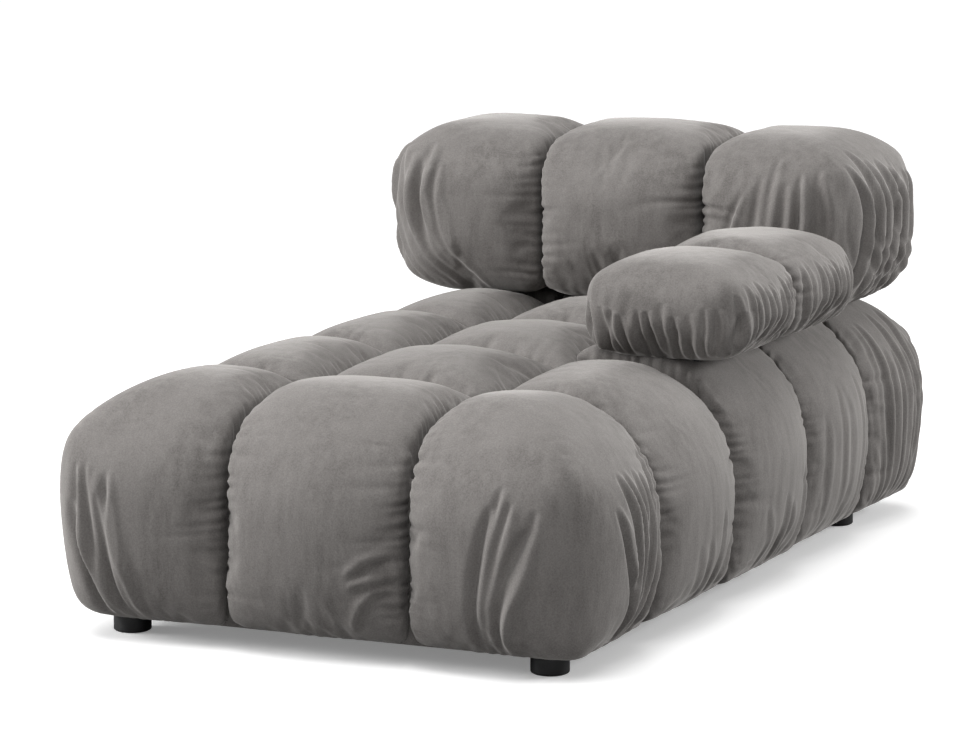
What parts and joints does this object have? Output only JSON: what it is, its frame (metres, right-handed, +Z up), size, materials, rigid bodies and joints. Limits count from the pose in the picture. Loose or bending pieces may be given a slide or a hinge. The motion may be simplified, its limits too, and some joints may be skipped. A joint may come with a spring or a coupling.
{
  "type": "daybed",
  "caption": "Channel-tufted velvet daybed with a box-framed padded seat, a lift-off backrest at the head end, a lift-off low armrest on one side and short round feet.",
  "frame": {"origin": "on the floor under the middle of the seat", "axes": "+Z up, +Y from the foot end to the backrest, +X to the side with the armrest"},
  "size_m": [0.9298, 1.6496, 0.7],
  "materials": {
    "velvet": "satin",
    "foam": "matte",
    "underside_cloth": "matte",
    "glide_felt": "matte",
    "zinc_steel": "satin",
    "tube_steel": "satin",
    "spring_steel": "satin",
    "timber": "matte",
    "plywood": "matte",
    "grey_felt": "matte",
    "black_plastic": "satin"
  },
  "bodies": {
    "base": {"cross_rail_1": "timber", "cross_rail_2": "timber", "cross_rail_3": "timber", "dust_cover": "underside_cloth", "end_rail_front": "timber", "end_rail_rear": "timber", "foot_blocks": "timber", "frame_screws": "zinc_steel", "seat_cover": "velvet", "seat_foam_row1_column1": "foam", "seat_foam_row1_column2": "foam", "seat_foam_row1_column3": "foam", "seat_foam_row2_column1": "foam", "seat_foam_row2_column2": "foam", "seat_foam_row2_column3": "foam", "seat_foam_row3_column1": "foam", "seat_foam_row3_column2": "foam", "seat_foam_row3_column3": "foam", "seat_foam_row4_column1": "foam", "seat_foam_row4_column2": "foam", "seat_foam_row4_column3": "foam", "seat_foam_row5_column1": "foam", "seat_foam_row5_column2": "foam", "seat_foam_row5_column3": "foam", "seat_springs": "spring_steel", "side_rail_left": "timber", "side_rail_right": "timber", "socket_blocks": "timber", "socket_liners": "tube_steel", "spring_clips": "zinc_steel", "spring_felt": "grey_felt", "tee_nuts": "zinc_steel"},
    "backrest": {"backrest_base_board": "plywood", "backrest_cover": "velvet", "backrest_foam_1": "foam", "backrest_foam_2": "foam", "backrest_foam_3": "foam", "backrest_panel": "plywood", "backrest_post_1": "tube_steel", "backrest_post_2": "tube_steel", "backrest_post_screws": "zinc_steel"},
    "armrest": {"armrest_base_board": "plywood", "armrest_cover": "velvet", "armrest_foam_1": "foam", "armrest_foam_2": "foam", "armrest_post_1": "tube_steel", "armrest_post_2": "tube_steel", "armrest_post_screws": "zinc_steel"},
    "foot_front_left": {"foot_front_left": "black_plastic", "foot_glide_front_left": "glide_felt", "foot_stud_front_left": "zinc_steel"},
    "foot_front_right": {"foot_front_right": "black_plastic", "foot_glide_front_right": "glide_felt", "foot_stud_front_right": "zinc_steel"},
    "foot_rear_left": {"foot_glide_rear_left": "glide_felt", "foot_rear_left": "black_plastic", "foot_stud_rear_left": "zinc_steel"},
    "foot_rear_right": {"foot_glide_rear_right": "glide_felt", "foot_rear_right": "black_plastic", "foot_stud_rear_right": "zinc_steel"}
  },
  "joints": [
    {"name": "backrest_lift", "type": "slide", "parent": "base", "child": "backrest", "axis": [0, 0, 1], "range_m": [0, 0.32]},
    {"name": "armrest_lift", "type": "slide", "parent": "base", "child": "armrest", "axis": [0, 0, 1], "range_m": [0, 0.32]},
    {"name": "foot_front_left_level", "type": "slide", "parent": "base", "child": "foot_front_left", "axis": [0, 0, -1], "range_m": [0, 0.01]},
    {"name": "foot_front_right_level", "type": "slide", "parent": "base", "child": "foot_front_right", "axis": [0, 0, -1], "range_m": [0, 0.01]},
    {"name": "foot_rear_left_level", "type": "slide", "parent": "base", "child": "foot_rear_left", "axis": [0, 0, -1], "range_m": [0, 0.01]},
    {"name": "foot_rear_right_level", "type": "slide", "parent": "base", "child": "foot_rear_right", "axis": [0, 0, -1], "range_m": [0, 0.01]}
  ]
}
